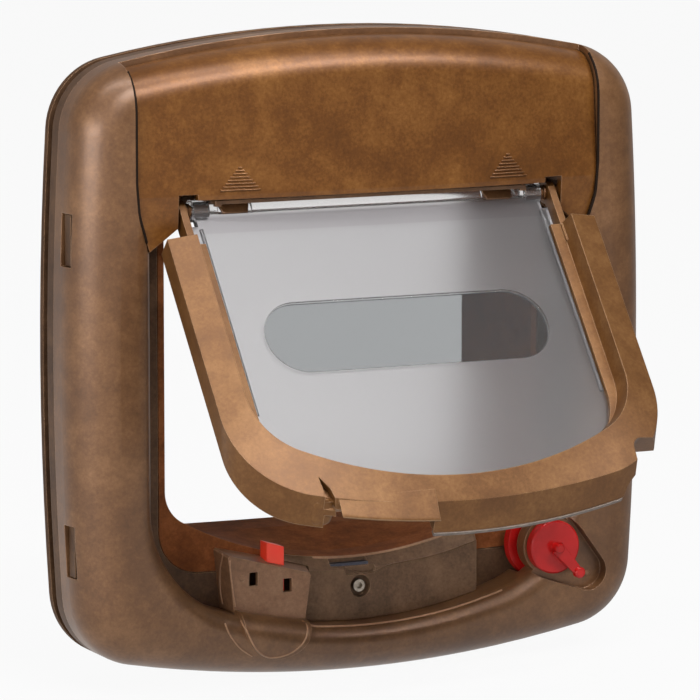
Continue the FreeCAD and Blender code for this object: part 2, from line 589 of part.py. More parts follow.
# Lip along the bottom rim of the surround
def make_seal():
    low = (RIM[0] - 0.6, RIM[1], RIM[2], RIM[3], HINGE_Z - 60.0)
    strip = prism(u_wire(low, 0.5, 0), HINGE_Y + 2.02, HINGE_Y + 3.6)
    strip = cut(strip, prism(u_wire(low, -1.6, 0), HINGE_Y, HINGE_Y + 10))
    strip = strip.common(box(TONGUE_X1 + 0.4, SIDE, HINGE_Y, HINGE_Y + 10, LOW, NOTCH_TOP + 16.0))
    strip = cut(strip, knob_relief(0.4))
    return sorted(strip.Solids, key=lambda piece: -piece.Volume)[0]


# Clear flap
def make_panel():
    half = 1.5
    plate = prism(u_wire(PANEL, 0, 0), HINGE_Y - half, HINGE_Y + half)
    bead = bar(2.3, -PANEL[0] + 8.0, PANEL[0] - 8.0, HINGE_Y, HINGE_Z)
    body = plate.cut(box(-SIDE, SIDE, HINGE_Y - 10, HINGE_Y + 10, HINGE_Z - 8.0, HINGE_Z + 10))
    neck = box(-PANEL[0] + 2.5, PANEL[0] - 2.5, HINGE_Y - half, HINGE_Y + half, HINGE_Z - 9.0, HINGE_Z)
    rings = []
    for s in (-1, 1):
        x0, x1 = sorted((s * (PANEL[0] - 8.1), s * (PANEL[0] - 1.7)))
        rings.append(bar(4.3, x0, x1, HINGE_Y, HINGE_Z))
    body = fuse(body, neck, bead, *rings)
    tools = []
    for s in (-1, 1):
        x0, x1 = sorted((s * (PANEL[0] - 8.5), s * (PANEL[0] - 1.5)))
        tools.append(bar(PIN_R + RUN, x0, x1, HINGE_Y, HINGE_Z))
        x0, x1 = sorted((s * (PANEL[0] - 26.3), s * (PANEL[0] - 12.3)))
        tools.append(box(x0, x1, HINGE_Y - 5, HINGE_Y - 0.9, HINGE_Z - 3.0, HINGE_Z + 5))
    tools.append(stadium(PANEL[0] - 16.0, 15.2, HINGE_Y - half - 1, HINGE_Y - half + 0.6))
    tools.append(stadium(PANEL[0] - 16.0, 15.2, HINGE_Y + half - 0.6, HINGE_Y + half + 1))
    x0, x1, z0, z1 = magnet_place()
    tools.append(box(x0, x1, HINGE_Y - 0.6, HINGE_Y + half + 1, z0, z1))
    return cut(body, *tools)


def stadium(half, r, y0, y1):
    z = HINGE_Z - 58.4
    k = half - r
    edges = [line(V(-k, y0, z + r), V(k, y0, z + r)), Part.Arc(V(k, y0, z + r), V(half, y0, z), V(k, y0, z - r)).toShape()]
    edges += [line(V(k, y0, z - r), V(-k, y0, z - r)), Part.Arc(V(-k, y0, z - r), V(-half, y0, z), V(-k, y0, z + r)).toShape()]
    return prism(Part.Wire(edges), y0, y1)


def magnet_place():
    return SCREW_X - MAGNET_HALF, SCREW_X + MAGNET_HALF, PANEL[3] + 2.0, PANEL[3] + 6.5


def make_flap_magnet():
    x0, x1, z0, z1 = magnet_place()
    g = 0.02
    return box(x0 + g, x1 - g, HINGE_Y - 0.6 + g, HINGE_Y + 1.4, z0 + g, z1 - g)


def make_pin(s):
    """Ribbed pin: it carries the knuckle of the flap and the ear of the surround."""
    x0, x1 = sorted((s * (PANEL[0] - 7.9), s * (CHEEK_IN + 6.5)))
    pin = bar(PIN_R, x0, x1, HINGE_Y, HINGE_Z)
    c0, c1 = sorted((s * (CHEEK_IN - 0.9), s * (CHEEK_IN + 3.0)))
    ribs = [bar(LUG_HALF, c0, c1, HINGE_Y, HINGE_Z)]
    for step in (-1.1, 0.4):
        r0, r1 = sorted((s * (PANEL[0] + step), s * (PANEL[0] + step + 0.8)))
        ribs.append(bar(PIN_R + 0.7, r0, r1, HINGE_Y, HINGE_Z))
    return fuse(pin, *ribs)


# Knob and cam
def make_knob():
    face = -EYE_FLOOR - 4.6
    disc = post(KNOB_R, face, -EYE_FLOOR - CLEAR, KNOB_X, KNOB_Z)
    disc = disc.makeChamfer(0.6, edges_at(disc, face))
    shaft = post(SHAFT_R, -EYE_FLOOR - 1.0, -SEAT_DEPTH - 0.4, KNOB_X, KNOB_Z)
    nub = post(1.9, face - 4.4, face + 0.6, KNOB_X, KNOB_Z)
    nub = nub.makeChamfer(0.5, edges_at(nub, face - 4.4))
    ang = math.radians(-48.0)
    ux, uz = math.cos(ang), math.sin(ang)
    clear_of_cover = -COVER_DEPTH - CLEAR
    reach = KNOB_R + 3.4
    end = post(2.2, clear_of_cover - 2.9, clear_of_cover, KNOB_X + reach * ux, KNOB_Z + reach * uz)
    end = end.makeChamfer(0.6, edges_at(end, clear_of_cover - 2.9))
    arm = prism(lever_wire(ang, 2.6, 1.7, reach), clear_of_cover - 1.7, clear_of_cover)
    root = prism(lever_wire(ang, 2.6, 2.2, KNOB_R - 1.5), face - 1.4, face + 0.4)
    body = fuse(disc, shaft, nub, root, arm, end)
    flat = box(KNOB_X - 10, KNOB_X + 10, -CAM_FRONT, 0, KNOB_Z + SHAFT_R - 0.9, KNOB_Z + 10)
    groove = post(SHAFT_R + 1, -CLIP_BACK - 0.95, -CLIP_BACK + 0.05, KNOB_X, KNOB_Z)
    groove = cut(groove, post(SHAFT_R - 1.0, -CAM_FRONT - 3, 0, KNOB_X, KNOB_Z))
    return cut(body, flat, groove)


def lever_wire(ang, w0, w1, reach):
    """Bar from the middle of the knob outwards, half as wide as w0 at the root and w1 at the end."""
    ux, uz = math.cos(ang), math.sin(ang)
    points = []
    for along, across in ((0.0, w0), (reach, w1), (reach, -w1), (0.0, -w0)):
        points.append((KNOB_X + along * ux - across * uz, KNOB_Z + along * uz + across * ux))
    return polygon(points, 0)


def make_cam():
    cam = post(CAM_R, -CAM_FRONT, -CAM_BACK, KNOB_X, KNOB_Z)
    side = box(KNOB_X - 30, KNOB_X + 30, -30, 0, KNOB_Z + 7.5, KNOB_Z + 30)
    low = box(KNOB_X + 7.5, KNOB_X + 30, -30, 0, KNOB_Z - 30, KNOB_Z + 30)
    hole = cut(post(SHAFT_R + 0.02, -30, 0, KNOB_X, KNOB_Z), box(KNOB_X - 10, KNOB_X + 10, -30, 0, KNOB_Z + SHAFT_R - 0.88, KNOB_Z + 10))
    return cut(cam, side, low, hole)


def make_clip():
    ring_out = post(SHAFT_R + 2.5, -CLIP_BACK - 0.9, -CLIP_BACK, KNOB_X, KNOB_Z)
    gap = box(KNOB_X - 2.6, KNOB_X + 2.6, -20, 0, KNOB_Z - 20, KNOB_Z)
    return cut(ring_out, post(SHAFT_R - 0.98, -20, 0, KNOB_X, KNOB_Z), gap)


# Magnet and screw of the sill
def make_sill_magnet(sill):
    """Pocket in the slope of the sill, and the magnet on its floor."""
    x0, x1 = SCREW_X - MAGNET_HALF - 4.0, SCREW_X + MAGNET_HALF - 4.0
    y0, y1 = -SEAT_DEPTH - 3.6, -SEAT_DEPTH - 0.6
    floor = TUNNEL_LOW - 6.6
    tool = box(x0, x1, y0, y1, floor, TUNNEL_LOW + 8)
    magnet = box(x0 + 0.02, x1 - 0.02, y0 + 0.02, y1 - 0.02, floor + 0.02, floor + 4.2)
    return cut(sill, tool), magnet


def make_screw():
    x, z = SCREW_X, SCREW_Z
    head = post(2.4, -SILL_FRONT + 0.9, -SILL_FRONT + 3.0, x, z)
    shank = post(1.5, -SILL_FRONT + 2.9, -SEAT_DEPTH + 2.0, x, z)
    hexagon = Part.makePolygon([V(x + 1.35 * math.cos(math.radians(a)), 0, z + 1.35 * math.sin(math.radians(a))) for a in range(0, 361, 60)])
    socket = prism(hexagon, -SILL_FRONT, -SILL_FRONT + 2.1)
    return cut(fuse(head, shank), socket)


os.makedirs("parts", exist_ok=True)

sill, sill_magnet = make_sill_magnet(make_sill())

pieces = {
    "frame_base": make_base(),
    "tunnel": make_tunnel(),
    "front_cover": make_cover(),
    "hood": make_hood(),
    "hinge_strip": make_strip(),
    "exterior_frame": make_rear(),
    "sill": sill,
    "sill_magnet": sill_magnet,
    "sill_screw": make_screw(),
    "latch_housing": make_housing(),
    "latch": make_latch(),
    "latch_magnet": make_latch_magnet(),
    "flap_surround": opened(make_surround()),
    "surround_seal": opened(make_seal()),
    "flap_panel": opened(make_panel()),
    "flap_magnet": opened(make_flap_magnet()),
    "pivot_pin_left": make_pin(-1),
    "pivot_pin_right": make_pin(1),
    "lock_knob": make_knob(),
    "lock_cam": make_cam(),
    "knob_clip": make_clip(),
}

for name, shape in pieces.items():
    solids = shape.Solids
    print(name, "solids", len(solids), "volume", round(shape.Volume, 1), "valid", shape.isValid())
    if len(solids) == 1:
        shape = solids[0]
    shape.exportStep(os.path.join("parts", name + ".step"))
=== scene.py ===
import bpy, bmesh, math
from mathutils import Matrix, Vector


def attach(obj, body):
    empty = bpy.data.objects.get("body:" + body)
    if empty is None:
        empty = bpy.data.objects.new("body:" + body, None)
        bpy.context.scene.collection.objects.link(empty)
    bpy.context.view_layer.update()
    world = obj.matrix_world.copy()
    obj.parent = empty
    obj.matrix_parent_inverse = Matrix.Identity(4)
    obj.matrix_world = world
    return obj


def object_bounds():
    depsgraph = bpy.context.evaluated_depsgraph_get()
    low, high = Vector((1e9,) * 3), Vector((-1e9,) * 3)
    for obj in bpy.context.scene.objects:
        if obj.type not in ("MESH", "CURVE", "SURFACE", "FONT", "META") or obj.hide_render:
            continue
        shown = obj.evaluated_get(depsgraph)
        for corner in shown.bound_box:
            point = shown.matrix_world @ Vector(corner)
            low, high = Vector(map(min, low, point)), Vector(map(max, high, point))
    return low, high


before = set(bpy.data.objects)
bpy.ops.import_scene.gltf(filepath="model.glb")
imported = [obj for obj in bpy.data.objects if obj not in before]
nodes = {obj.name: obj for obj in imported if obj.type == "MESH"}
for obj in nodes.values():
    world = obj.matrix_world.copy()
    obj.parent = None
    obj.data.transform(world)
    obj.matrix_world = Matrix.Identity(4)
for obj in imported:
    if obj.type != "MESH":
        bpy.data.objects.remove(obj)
cad_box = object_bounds()
bpy.ops.object.select_all(action="DESELECT")

# Base of the inside frame: one injection moulding in pearl bronze plastic, most of it hidden.
# The mould isn't polished here, so it stays duller than the parts that snap on it.
# Four screws hold it to the door from the room side.


class Socket:
    """An output socket of a shader that takes Python's arithmetic."""

    def __init__(self, finish, output):
        self.finish, self.output = finish, output

    def maths(self, operation, a, b=0.0):
        return self.finish.node("ShaderNodeMath", {"operation": operation}, {0: a, 1: b})

    def __add__(self, other):
        return self.maths("ADD", self, other)

    def __radd__(self, other):
        return self.maths("ADD", other, self)

    def __sub__(self, other):
        return self.maths("SUBTRACT", self, other)

    def __rsub__(self, other):
        return self.maths("SUBTRACT", other, self)

    def __mul__(self, other):
        return self.maths("MULTIPLY", self, other)

    def __rmul__(self, other):
        return self.maths("MULTIPLY", other, self)

    def __truediv__(self, other):
        return self.maths("DIVIDE", self, other)

    def __abs__(self):
        return self.maths("ABSOLUTE", self)

    def over(self, other):
        return self.maths("MAXIMUM", self, other)

    def root(self):
        return self.maths("SQRT", self)

    def ramp(self, low, high):
        """0 up to low and 1 from high on, smooth between them."""
        sockets = {"Value": self, "From Min": low, "From Max": high}
        return self.finish.node("ShaderNodeMapRange", {"interpolation_type": "SMOOTHSTEP"}, sockets)


class Finish:
    """A material, or the world, whose nodes are written as Python."""

    def __init__(self, name, owner=None):
        self.owner = owner or bpy.data.materials.new(name)
        self.owner.use_nodes = True
        self.tree = self.owner.node_tree
        self.shader = self.tree.nodes.get("Principled BSDF")
        self.place = self.node("ShaderNodeTexCoord", {}, {}, "Object")

    def node(self, kind, settings, sockets, output=0):
        made = self.tree.nodes.new(kind)
        for name, value in settings.items():
            if name == "stops":
                ramp = made.color_ramp
                while len(ramp.elements) < len(value):
                    ramp.elements.new(0.5)
                for element, (position, colour) in zip(ramp.elements, value):
                    element.position = position
                    element.color = colour
            else:
                setattr(made, name, value)
        for key, value in sockets.items():
            self.join(made.inputs[key], value)
        return Socket(self, made.outputs[output]) if made.outputs else None

    def join(self, target, value):
        if isinstance(value, Socket):
            self.tree.links.new(value.output, target)
        else:
            target.default_value = value

    def feed(self, **sockets):
        for name, value in sockets.items():
            self.join(self.shader.inputs[name.replace("_", " ")], value)

    def noise(self, scale, detail=3.0, roughness=0.5):
        sockets = {"Vector": self.place, "Scale": scale, "Detail": detail, "Roughness": roughness}
        return self.node("ShaderNodeTexNoise", {}, sockets, "Fac")

    def tint(self, amount, a, b):
        """Colour a where amount is 0, and colour b where it is 1."""
        return self.node("ShaderNodeMix", {"data_type": "RGBA"}, {0: amount, 6: a, 7: b}, 2)

    def shades(self, amount, stops):
        return self.node("ShaderNodeValToRGB", {"stops": stops}, {"Fac": amount})

    def soften(self, radius, height, depth, strength=1.0):
        """Rounds sharp edges by radius, and adds a fine relief."""
        rounded = self.node("ShaderNodeBevel", {"samples": 4}, {"Radius": radius}, "Normal")
        sockets = {"Height": height, "Distance": depth, "Strength": strength, "Normal": rounded}
        self.feed(Normal=self.node("ShaderNodeBump", {}, sockets, "Normal"))
        flat = self.node("ShaderNodeNewGeometry", {}, {}, "Normal")
        along = self.node("ShaderNodeVectorMath", {"operation": "DOT_PRODUCT"}, {0: rounded, 1: flat}, "Value")
        return (1.0 - along).ramp(0.02, 0.22)


def tone(*levels):
    """Screen colour from 0 to 255 as a scene colour."""
    screen = [level / 255 for level in levels]
    return (*(v / 12.92 if v < 0.04045 else ((v + 0.055) / 1.055) ** 2.4 for v in screen), 1.0)


EDGE_ROUND = 0.0005


def pearl_bronze(name, tones, gloss, edge_highlight, metal=0.3, shine=0.5):
    """Cloudy bronze plastic: soft patches, small blots and fine pearl flecks, with a painted highlight that
    makes its rounded edges paler.
    """
    finish = Finish(name)
    patches = finish.noise(34.0, 4.0, 0.62)
    blots = finish.noise(130.0, 4.0, 0.65)
    flecks = finish.noise(760.0, 3.0, 0.7)
    cloud = patches * 0.42 + blots * 0.3 + flecks * 0.28
    edge = finish.soften(EDGE_ROUND, flecks, 0.00006, 0.6)
    colour = finish.shades(cloud, list(zip((0.36, 0.47, 0.54, 0.66), tones)))
    # The rounded edges are tinted towards the pale edge colour: a painted highlight along every edge.
    finish.feed(Base_Color=finish.tint(edge * 0.55, colour, edge_highlight))
    finish.feed(Roughness=gloss + patches * 0.08 + flecks * 0.12 - edge * 0.08)
    finish.shader.inputs["Metallic"].default_value = metal
    finish.shader.inputs["Specular IOR Level"].default_value = shine
    return finish.owner


def wear(node, material):
    slots = nodes[node].data.materials
    slots.clear()
    slots.append(material)


# Pale bronze for the painted highlight on rounded edges.
EDGE_HIGHLIGHT = tone(206, 164, 128)
dull_tones = [tone(66, 46, 32), tone(84, 60, 42), tone(96, 70, 50), tone(114, 84, 60)]
bronze_dull = pearl_bronze("bronze_dull", dull_tones, 0.42, EDGE_HIGHLIGHT, 0.2, 0.2)
wear("frame_base", bronze_dull)

# Tunnel: a plain sleeve in the same plastic that carries the flap's way through the door.
# Its inside is matt and dark, with a reddish cast on the floor, and it is held by its collar.
tunnel_tones = [tone(102, 58, 32), tone(126, 72, 40), tone(142, 84, 48), tone(160, 102, 62)]
wear("tunnel", pearl_bronze("bronze_tunnel", tunnel_tones, 0.6, tone(150, 116, 90), 0.0, 0.05))

# Frame on the outside face of the door, moulded in the same plastic.
# It slides along the tunnel until the door is clamped between the two frames.
outer_tones = [tone(62, 43, 30), tone(78, 55, 38), tone(90, 64, 45), tone(106, 78, 56)]
wear("exterior_frame", pearl_bronze("bronze_outer", outer_tones, 0.5, EDGE_HIGHLIGHT, 0.1, 0.1))

# Front cover: a hollow, crowned moulding that snaps over the base and hides its screws.
# Its snap windows show on both sides, and it is polished, so the light runs down it in bands.
cover_tones = [tone(94, 62, 36), tone(108, 73, 44), tone(120, 83, 51), tone(138, 99, 65)]
bronze_cover = pearl_bronze("bronze_cover", cover_tones, 0.27, EDGE_HIGHLIGHT, 0.3, 0.7)
wear("front_cover", bronze_cover)

# Hood over the hinge: one bowed shell in bronze plastic that slides up and off.
# Two triangles of moulded ribs near its lower corners show where the thumbs push.
bronze_tones = [tone(92, 54, 18), tone(108, 65, 23), tone(121, 76, 30), tone(142, 94, 44)]
bronze = pearl_bronze("bronze", bronze_tones, 0.26, EDGE_HIGHLIGHT)
wear("hood", bronze)
GRIP_X, GRIP_LOW = 0.056, 0.0688
GRIP_HALF, GRIP_TIP = 0.008, 0.0007
RIB_COUNT, RIB_PITCH = 8, 0.0012
RIB_HEIGHT, RIB_PROUD, RIB_SUNK = 0.0008, 0.0007, 0.0005
RIB_TAPER, RIB_EDGE = 0.45, 0.00012
LOOK_FROM, LOOK = -0.3, Vector((0, 1, 0))


def look(node, x, z):
    """Whether a straight look from the room meets a CAD node, and where."""
    return nodes[node].ray_cast(Vector((x, LOOK_FROM, z)), LOOK)[:2]


def front_of(node, x, z):
    """How far back the look meets the node."""
    return look(node, x, z)[1].y


def settle(name):
    """Applies place and scale, names the piece and gives it smooth shading."""
    piece = bpy.context.object
    bpy.ops.object.transform_apply(location=True, rotation=True, scale=True)
    bpy.ops.object.shade_smooth_by_angle(angle=math.radians(40))
    piece.name = name
    piece.select_set(False)
    return piece


def shape(piece, modifier, **settings):
    """Adds a modifier with its settings and applies it."""
    made = piece.modifiers.new(modifier, modifier)
    for name, value in settings.items():
        setattr(made, name, value)
    bpy.context.view_layer.objects.active = piece
    bpy.ops.object.modifier_apply(modifier=made.name)


def wear_new(piece, material, body):
    piece.data.materials.clear()
    piece.data.materials.append(material)
    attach(piece, body)


def hood_side(side, z):
    """How far across the hood reaches at a height, found by looking at it from the room."""
    inside, outside = 0.0845, 0.1
    for step in range(22):
        middle = (inside + outside) / 2
        met = look("hood", side * middle, z)[0]
        inside, outside = (middle, outside) if met else (inside, middle)
    return side * inside


for side, label in ((-1, "left"), (1, "right")):
    for row in range(RIB_COUNT):
        half = GRIP_HALF + (GRIP_TIP - GRIP_HALF) * row / (RIB_COUNT - 1)
        z = GRIP_LOW + RIB_PITCH * row
        bpy.ops.mesh.primitive_cube_add(size=1, location=(side * GRIP_X, 0, z))
        rib = bpy.context.object
        rib.scale = (2 * half, RIB_PROUD + RIB_SUNK, RIB_HEIGHT)
        bpy.ops.object.transform_apply(location=True, rotation=True, scale=True)
        bpy.ops.object.mode_set(mode="EDIT")
        mesh = bmesh.from_edit_mesh(rib.data)
        long_edges = [e for e in mesh.edges if abs(e.verts[0].co.x - e.verts[1].co.x) > 0.0001]
        bmesh.ops.subdivide_edges(mesh, edges=long_edges, cuts=5, use_grid_fill=True)
        for vertex in mesh.verts:
            if vertex.co.y < 0:
                vertex.co.z = z + (vertex.co.z - z) * RIB_TAPER
            vertex.co.y += front_of("hood", vertex.co.x, z) + (RIB_SUNK - RIB_PROUD) / 2
        bmesh.update_edit_mesh(rib.data)
        bpy.ops.object.mode_set(mode="OBJECT")
        shape(rib, "BEVEL", width=RIB_EDGE, segments=2, limit_method="ANGLE")
        rib = settle("grip_rib_" + label + "_" + str(row + 1))
        wear_new(rib, bronze, "hood_body")

# Hinge strip: a narrow plate under the hood that closes the slot over the flap.
# Two ribbed pins snap into the lugs of the base and carry both parts of the flap.
# A short wall beside the left lug closes the view into the pocket of the hinge.
wear("hinge_strip", bronze_cover)
for node in ("pivot_pin_left", "pivot_pin_right"):
    wear(node, bronze)

WALL_OUTLINE = [(-0.0755, 0.0663), (-0.0565, 0.0663), (-0.0565, 0.0598), (-0.0755, 0.0598)]
WALL_BACK, WALL_THICK = -0.0092, 0.0016
bpy.ops.mesh.primitive_circle_add(vertices=4, radius=0.01, fill_type="NGON")
pocket_wall = bpy.context.object
for vertex, (x, z) in zip(pocket_wall.data.vertices, WALL_OUTLINE):
    vertex.co = (x, WALL_BACK, z)
bpy.ops.object.mode_set(mode="EDIT")
bpy.ops.mesh.select_all(action="SELECT")
bpy.ops.mesh.extrude_region_move(TRANSFORM_OT_translate={"value": (0, -WALL_THICK, 0)})
bpy.ops.mesh.select_all(action="SELECT")
bpy.ops.mesh.normals_make_consistent(inside=False)
bpy.ops.object.mode_set(mode="OBJECT")
shape(pocket_wall, "BEVEL", width=0.0003, segments=2, limit_method="ANGLE")
pocket_wall = settle("hinge_pocket_wall")
wear_new(pocket_wall, bronze_dull, "frame")

# Surround of the flap: a stiff bronze moulding that swings on the pins and frames the clear panel.
# Along its lower rim runs a soft pale grey lip that closes on the sill.
surround_tones = [tone(97, 61, 27), tone(109, 71, 34), tone(120, 81, 42), tone(135, 96, 56)]
bronze_surround = pearl_bronze("bronze_surround", surround_tones, 0.3, tone(210, 172, 134), 0.3, 0.4)
wear("flap_surround", bronze_surround)
lip = Finish("lip_grey")
lip_grain = lip.noise(420.0, 3.0)
lip_shades = [(0.35, tone(106, 92, 82)), (0.65, tone(130, 116, 106))]
lip.feed(Base_Color=lip.shades(lip_grain, lip_shades), Roughness=lip_grain * 0.2 + 0.45)
lip.soften(0.0003, lip_grain, 0.00003, 0.5)
wear("surround_seal", lip.owner)

# Web in the nick of the surround: a thin floor moulded between the left arm and the tongue.
# It is part of the same moulding, and it closes the hollow back there.
OPEN = math.radians(39.0)
HINGE = Vector((0, -0.025, 0.0606))
DOWN = Vector((0, -math.sin(OPEN), -math.cos(OPEN)))
FRONT = Vector((0, -math.cos(OPEN), math.sin(OPEN)))


def on_flap(across, down, front):
    """A place on the open flap: across it, down from the hinge, and out from its middle."""
    return Vector((across, 0, 0)) + HINGE + DOWN * down + FRONT * front


def plate_on_flap(name, outline, back, face, rounding):
    """A flat plate on the flap, from an outline of (across, down) places."""
    bpy.ops.mesh.primitive_circle_add(vertices=len(outline), radius=0.01, fill_type="NGON")
    plate = bpy.context.object
    for vertex, (across, down) in zip(plate.data.vertices, outline):
        vertex.co = on_flap(across, down, back)
    bpy.ops.object.mode_set(mode="EDIT")
    bpy.ops.mesh.select_all(action="SELECT")
    bpy.ops.mesh.extrude_region_move(TRANSFORM_OT_translate={"value": FRONT * (face - back)})
    bpy.ops.mesh.select_all(action="SELECT")
    bpy.ops.mesh.normals_make_consistent(inside=False)
    bpy.ops.object.mode_set(mode="OBJECT")
    shape(plate, "BEVEL", width=rounding, segments=2, limit_method="ANGLE")
    return settle(name)


nick_outline = [(-0.0605, 0.1212), (-0.0505, 0.1212), (-0.0505, 0.1312), (-0.0605, 0.1312)]
WEB_BACK, WEB_FACE = 0.0048, 0.0062
PLATE_EDGE = 0.0002
web = plate_on_flap("nick_web", nick_outline, WEB_BACK, WEB_FACE, PLATE_EDGE)
wear_new(web, bronze_surround, "surround")

# The left arm of the surround ends in a rounded lobe beside the nick.
# It is moulded with the arm, and its face carries on from the arm's skirt.
SKIRT_RUN = (DOWN * 0.588 - FRONT * 0.809).normalized()
SKIRT_OUT = (DOWN * 0.82 + FRONT * 0.56).normalized()
LOBE_REACH, LOBE_HALF, LOBE_THICK, LOBE_FULL = 0.0043, 0.0053, 0.0013, 0.6
LOBE_AT, LOBE_PROUD = (-0.0577, 0.1336, 0.0029), 0.0001
bpy.ops.mesh.primitive_uv_sphere_add(segments=32, ring_count=20, radius=1)
lobe_middle = on_flap(*LOBE_AT) - SKIRT_OUT * (LOBE_THICK - LOBE_PROUD)
for vertex in bpy.context.object.data.vertices:
    x, y, z = (math.copysign(abs(v) ** LOBE_FULL, v) for v in vertex.co)
    run, out = SKIRT_RUN * (z * LOBE_HALF), SKIRT_OUT * (y * LOBE_THICK)
    vertex.co = lobe_middle + Vector((x * LOBE_REACH, 0, 0)) + run + out
lobe = settle("arm_lobe")
lobe_mesh = bmesh.new()
lobe_mesh.from_mesh(lobe.data)
bmesh.ops.recalc_face_normals(lobe_mesh, faces=lobe_mesh.faces)
lobe_mesh.to_mesh(lobe.data)
lobe_mesh.free()
wear_new(lobe, bronze_surround, "surround")

# Clear panel: a moulded sheet that is frosted all over, apart from a polished oval window.
# Its top bead, knuckles and rim are polished too, and a small magnet is moulded in its foot.
WINDOW_HALF, WINDOW_ROUND, WINDOW_AT = 0.0585, 0.0152, 0.0584
BAND_LOW, BEAD_FADE = 0.0114, (0.0026, 0.0032)

clear = Finish("clear_plastic")
split = clear.tree.nodes.new("ShaderNodeSeparateXYZ")
clear.join(split.inputs[0], clear.place)
px, py, pz = (Socket(clear, out) for out in split.outputs)
down = (py - HINGE.y) * DOWN.y + (pz - HINGE.z) * DOWN.z
across = (abs(px) - (WINDOW_HALF - WINDOW_ROUND)).over(0.0)
along = down - WINDOW_AT
from_rim = (across * across + along * along).root() - WINDOW_ROUND
frosted = from_rim.ramp(-0.0003, 0.0003)
bead = 1.0 - down.ramp(*BEAD_FADE)
band = (1.0 - down.ramp(BAND_LOW - 0.0004, BAND_LOW + 0.0004)) * (1.0 - bead)
haze = clear.noise(26.0, 2.0)
pane = clear.tint(frosted, tone(166, 168, 169), tone(182, 180, 181))
pane = clear.tint(band, pane, tone(168, 164, 166))
pane = clear.tint(bead, pane, tone(232, 230, 229))
grain = clear.noise(1500.0, 2.0)
clear.feed(Base_Color=pane, Roughness=frosted * (1.0 - bead * 0.4) * (haze * 0.06 + 0.23) + 0.03)
clear.shader.inputs["Transmission Weight"].default_value = 0.93
clear.shader.inputs["IOR"].default_value = 1.49
clear.soften(0.0003, grain * frosted, 0.00002, 0.3)
wear("flap_panel", clear.owner)

# Pads in the notches of the panel's top bead, one on each side of the hinge.
# Thin edge beads run down both sides of the panel below them.
PAD_IN, PAD_OUT, PAD_SLANT = 0.0486, 0.0618, 0.0016
PAD_TOP, PAD_FOOT = -0.0021, 0.0028
PAD_BACK, PAD_FACE = 0.0006, 0.0018
PAD_OUTLINE = [(PAD_OUT, PAD_TOP), (PAD_IN, PAD_TOP),
               (PAD_IN + PAD_SLANT, PAD_FOOT), (PAD_OUT - PAD_SLANT, PAD_FOOT)]
for side, label in ((-1, "left"), (1, "right")):
    pad = [(side * far, low) for far, low in PAD_OUTLINE]
    notch_pad = plate_on_flap("notch_pad_" + label, pad, PAD_BACK, PAD_FACE, PLATE_EDGE)
    wear_new(notch_pad, bronze_cover, "flap")


def bead_along(name, places, radius):
    """A thin moulded bead of round section through the places."""
    bpy.ops.curve.primitive_nurbs_path_add()
    made = bpy.context.object
    made.data.splines.clear()
    spline = made.data.splines.new("NURBS")
    spline.points.add(len(places) - 1)
    for point, place in zip(spline.points, places):
        point.co = (*place, 1)
    spline.order_u = 3
    spline.use_endpoint_u = True
    spline.resolution_u = 6
    made.data.dimensions = "3D"
    made.data.bevel_depth = radius
    made.data.bevel_resolution = 3
    made.data.use_fill_caps = True
    bpy.ops.object.convert(target="MESH")
    return settle(name)


RIM_X, RIM_TOP, RIM_LOW = 0.0712, 0.0095, 0.0905
RIM_FRONT, RIM_BEAD, RIM_STEPS = 0.0015, 0.0008, 6
for side, label in ((-1, "left"), (1, "right")):
    heights = [RIM_TOP + (RIM_LOW - RIM_TOP) * step / RIM_STEPS for step in range(RIM_STEPS + 1)]
    run = [on_flap(side * RIM_X, height, RIM_FRONT) for height in heights]
    rim = bead_along("panel_rim_" + label, run, RIM_BEAD)
    wear_new(rim, clear.owner, "flap")

# Sill under the flap: a thin moulding whose curved lip meets the flap and holds a magnet.
# One socket screw in a round recess fixes it to the base.
sill_tones = [tone(84, 63, 47), tone(105, 80, 60), tone(119, 91, 68), tone(137, 107, 82)]
bronze_sill = pearl_bronze("bronze_sill", sill_tones, 0.34, tone(196, 158, 124), 0.15, 0.2)
wear("sill", bronze_sill)

steel = Finish("steel")
scratches = steel.noise(900.0, 2.0)
steel.feed(Base_Color=steel.shades(scratches, [(0.3, tone(120, 110, 98)), (0.7, tone(176, 164, 150))]))
steel.feed(Roughness=scratches * 0.3 + 0.22)
steel.shader.inputs["Metallic"].default_value = 1.0
for node in ("sill_screw", "knob_clip"):
    wear(node, steel.owner)

ferrite = Finish("ferrite")
dust = ferrite.noise(500.0, 3.0)
ferrite.feed(Base_Color=ferrite.shades(dust, [(0.3, tone(44, 44, 52)), (0.7, tone(74, 74, 84))]))
ferrite.feed(Roughness=dust * 0.4 + 0.2)
ferrite.shader.inputs["Metallic"].default_value = 0.6
for node in ("sill_magnet", "latch_magnet", "flap_magnet"):
    wear(node, ferrite.owner)

# Seams beside the hood: dark beads laid over the gaps where the sliding hood meets the cover, as painted shade
# in those gaps.
# They stay on the frame when the hood slides up. A fine bead also runs along the edge of the sill.
painted_seam_shade = Finish("painted_seam_shade")
# Near black for the painted shade in the seams.
painted_seam_shade.feed(Base_Color=tone(30, 20, 13), Roughness=0.7)
painted_seam_shade.shader.inputs["Specular IOR Level"].default_value = 0.1
SEAM_LOW, SEAM_TOP, SEAM_STEPS = 0.0435, 0.1135, 24
SEAM_ASIDE, SEAM_OUT, SEAM_BEAD, PROUD = 0.0012, 0.0003, 0.0005, 0.0001
for side, label in ((-1, "left"), (1, "right")):
    seam_places = []
    for step in range(SEAM_STEPS + 1):
        z = SEAM_LOW + (SEAM_TOP - SEAM_LOW) * step / SEAM_STEPS
        x = hood_side(side, z)
        on_hood = front_of("hood", x - side * SEAM_ASIDE, z)
        on_cover = front_of("front_cover", x + side * SEAM_ASIDE, z)
        seam_places.append((x + side * SEAM_OUT, min(on_hood, on_cover) + PROUD, z))
    seam = bead_along("hood_seam_" + label, seam_places, SEAM_BEAD)
    wear_new(seam, painted_seam_shade.owner, "frame")

